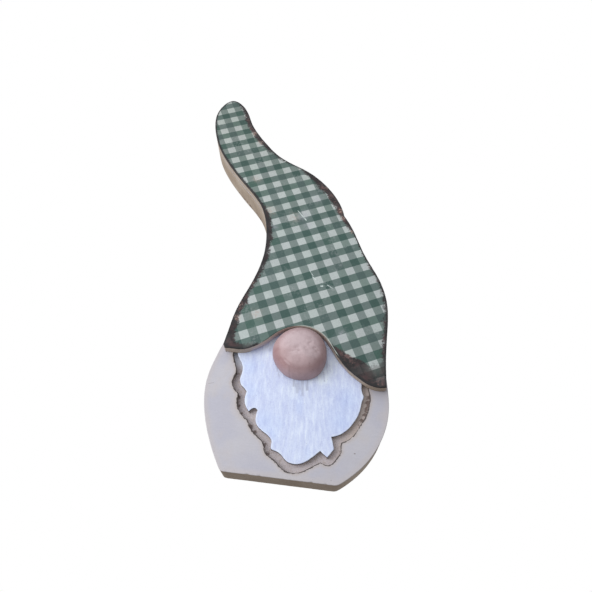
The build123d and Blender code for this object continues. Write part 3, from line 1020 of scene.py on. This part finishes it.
def make_hat_paper():
    piece = plate(
        "hat_paper_checked", inset(sawn_outline("hat_paper", PAPER_FRONT), *PAPER_TRIM, seed=16),
        PAPER_FRONT, HAT_FRONT + PAPER_TUCK,
        easing=uneven(0.2, 0.04, 2, 17), relief=uneven(0.02, 0.02, 7, 18),
        spacing=(0.8, 0.8), back_easing=0.02, rows=2,
    )
    set_attribute(piece, "reach", ink_reach(piece))
    set_marks(
        piece, rubbed=RUBBED_SPOTS, faded=FADED_SPOTS, mauve=MAUVE_SPOTS,
        faint=FAINT_INK, ruddy=RUDDY_INK, cut=CUT_HIGHLIGHT_SPOTS,
    )
    settle(piece, "hat_paper", checked_paper())


def round_disc():
    """Points in rings on a disc of radius 1, its triangles, and how many points its rim has."""
    points = [(0, 0)]
    for ring in range(1, NOSE_RINGS + 1):
        share = ring / NOSE_RINGS
        count = max(6, round(NOSE_AROUND * math.sin(share * math.pi / 2)))
        turn = np.arange(count) / count * 2 * math.pi + ring * RING_TWIST
        points += [(share * math.cos(t), share * math.sin(t)) for t in turn]
    _, _, faces, sources, _, _ = delaunay_2d_cdt([Vector(p) for p in points], [], [], 0, SAME_CORNER)
    return np.array(points), [[sources[corner][0] for corner in f] for f in faces], count


def nose_pressing(flat, heading, tilt):
    """How far the nose's surface lies below a plain dome at each point, in millimetres."""
    pressed = 0.04 + 0.05 * wobble(flat, 5, 20) + 0.02 * wobble(flat, 0.9, 21)
    pressed += spots(flat, NOSE_DENTS)
    for x0, z0, x1, z1, width, depth in NOSE_CREASES:
        gap = segment_distance(flat / MM, np.array((x0, z0)), np.array((x1, z1)))
        pressed += depth * np.exp(-(gap / width) ** 2)
    degrees = np.degrees(np.arctan2(heading[:, 1], heading[:, 0]))
    for middle, spread, amount in NOSE_SWELLS:
        off = (degrees - middle + 180) % 360 - 180
        pressed -= amount * np.exp(-(off / spread) ** 2) * np.sin(tilt)
    return pressed


def make_nose():
    """A dome raised from a disc of points, with dents and creases pressed in."""
    disc, faces, rim_count = round_disc()
    share = np.linalg.norm(disc, axis=1)
    tilt = share * math.pi / 2
    heading = disc / np.maximum(share, TINY)[:, None]
    outward = at_depth(np.sin(tilt)[:, None] * heading, -np.cos(tilt))
    flat = np.array([NOSE_MIDDLE.x, NOSE_MIDDLE.z]) + outward[:, [0, 2]] * NOSE_RADIUS

    width, height = np.sin(tilt) / NOSE_RADIUS, np.cos(tilt) / NOSE_HEIGHT
    radius = (width**NOSE_SQUARENESS + height**NOSE_SQUARENESS) ** (-1 / NOSE_SQUARENESS)
    radius -= nose_pressing(flat, heading, tilt) * MM
    radius -= rounding((1 - share) * NOSE_RADIUS * math.pi / 2, NOSE_EASING)
    dome = np.array([NOSE_MIDDLE.x, BODY_FRONT, NOSE_MIDDLE.z]) + outward * radius[:, None]
    rim = list(range(len(dome) - rim_count, len(dome)))
    piece = new_piece("nose_painted", dome, faces + [rim[::-1]])
    set_marks(piece, cheek=CHEEK_SPOTS)
    settle(piece, "nose", pink_paint())


# --- studio ---
CAMERA_PLACE = Vector((12.85, -166.2, -33.15)) * MM  # close in front, lower than the foot
CAMERA_AIM = Vector((6.3, -8.2, 64.1)) * MM
CAMERA_ROLL = math.radians(7.7)
LENS, SENSOR, SHIFT_X, SHIFT_Y = 31.15, 36, -0.0459, 0.0004
NEAREST, FARTHEST = 0.01, 20  # what the camera sees, in metres

LIGHTS = [  # name, direction it comes from, distance, size, power
    ("key_light", (-0.50, -0.80, 0.36), 0.7, 0.90, 2.38),
    ("window_light", (-0.80, -0.55, -0.22), 0.30, 0.20, 0.47),
]
LIGHT_TINT = (0.97, 0.98, 1)
SURROUND = 0.447  # strength of the light from all round
FLOOR_HALF, FLOOR_DROP = 2, 0.03 * MM  # half the floor's width, and its place below the foot


def make_camera():
    camera = new_object("camera", bpy.data.cameras.new("camera"))
    camera.data.lens, camera.data.sensor_width = LENS, SENSOR
    camera.data.shift_x, camera.data.shift_y = SHIFT_X, SHIFT_Y
    camera.data.clip_start, camera.data.clip_end = NEAREST, FARTHEST
    aim = (CAMERA_AIM - CAMERA_PLACE).to_track_quat("-Z", "Y").to_matrix()
    turned = (aim @ Matrix.Rotation(CAMERA_ROLL, 3, "Z")).to_4x4()
    camera.matrix_world = Matrix.Translation(CAMERA_PLACE) @ turned
    bpy.context.scene.camera = camera


def make_lights():
    middle = (cad_box[0] + cad_box[1]) / 2
    for name, direction, distance, size, power in LIGHTS:
        light = bpy.data.lights.new(name, "AREA")
        light.shape, light.size, light.energy, light.color = "DISK", size, power, LIGHT_TINT
        lamp = new_object(name, light)
        lamp.location = middle + Vector(direction).normalized() * distance
        lamp.rotation_euler = Vector(direction).to_track_quat("Z", "Y").to_euler()
        lamp.visible_camera = False


def make_surround():
    """White behind the figure, and even light on it from all round."""
    world = bpy.data.worlds.new("studio")
    bpy.context.scene.world = world
    tree = Nodes(world)
    seen = tree.node("ShaderNodeBackground", {"Color": (1, 1, 1, 1)}).outputs[0]
    glow = {"Color": (*LIGHT_TINT, 1), "Strength": SURROUND}
    surround = tree.node("ShaderNodeBackground", glow).outputs[0]
    rays = tree.node("ShaderNodeLightPath").outputs["Is Camera Ray"]
    choice = tree.node("ShaderNodeMixShader", {0: rays, 1: surround, 2: seen}).outputs[0]
    tree.node("ShaderNodeOutputWorld", {"Surface": choice})


def make_floor():
    sides = ((-1, -1), (1, -1), (1, 1), (-1, 1))
    mesh = bpy.data.meshes.new("studio_floor")
    mesh.from_pydata([(x * FLOOR_HALF, y * FLOOR_HALF, -FLOOR_DROP) for x, y in sides], [], [(0, 1, 2, 3)])
    floor = new_object("studio_floor", mesh)
    mesh.materials.append(studio_floor())
    floor.visible_shadow = floor.visible_diffuse = floor.visible_glossy = False


make_camera()
make_back_board()
make_body_panel()
make_beard()
make_hat_plate()
make_hat_paper()
make_nose()
make_lights()
make_surround()
make_floor()
bpy.context.scene.view_settings.view_transform = "Standard"
